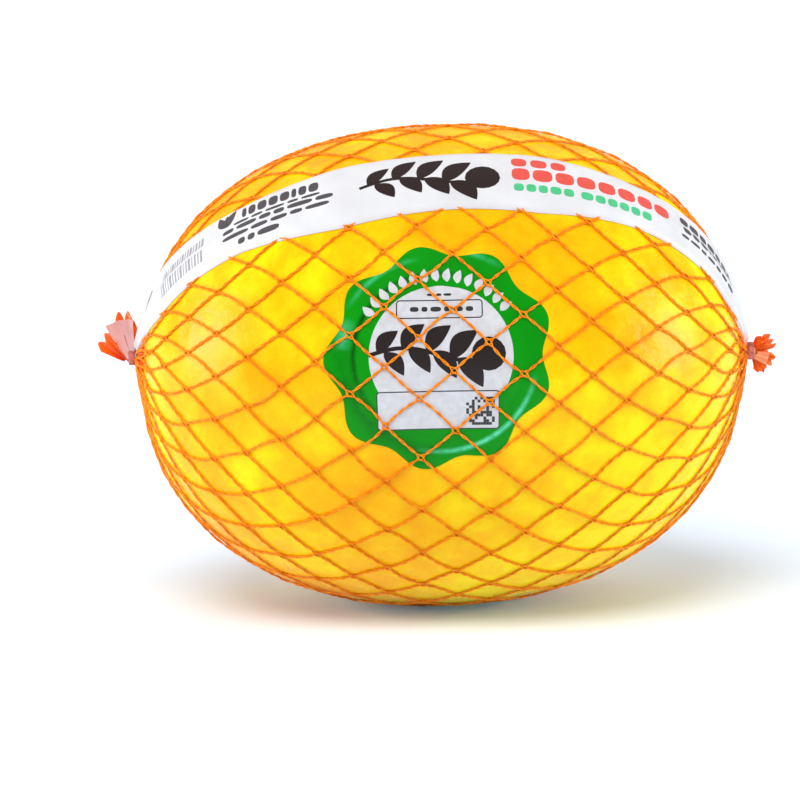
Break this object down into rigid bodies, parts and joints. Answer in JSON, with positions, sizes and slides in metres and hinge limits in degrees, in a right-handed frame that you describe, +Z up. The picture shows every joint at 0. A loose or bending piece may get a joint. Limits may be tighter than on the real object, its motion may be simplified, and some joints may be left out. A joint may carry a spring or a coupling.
{
  "type": "melon in a carrying net",
  "caption": "Whole yellow melon lying on its side in a knitted carrying net, with gathered and clipped ends, a film label band and a round sticker.",
  "frame": {"origin": "on the surface that the melon rests on, below the middle of the fruit", "axes": "+X along the fruit towards the end whose net tail points straight out, -Y towards the side with the sticker, +Z up"},
  "size_m": [0.2094, 0.15, 0.1495],
  "materials": {
    "melon_skin": "smooth waxy skin, satin, warm yellow with faint mottling",
    "net_knit": "fine knitted polyethylene filaments, slightly translucent",
    "film": "thin white film, soft sheen, plain printed marks",
    "sticker_paper": "coated label, green border with a white middle",
    "clip_metal": "dull crimped wire"
  },
  "bodies": {
    "root": {"melon": "melon_skin", "net": "net_knit", "label_band": "film", "seal_sticker": "sticker_paper", "clip_left": "clip_metal", "clip_right": "clip_metal"}
  },
  "joints": []
}
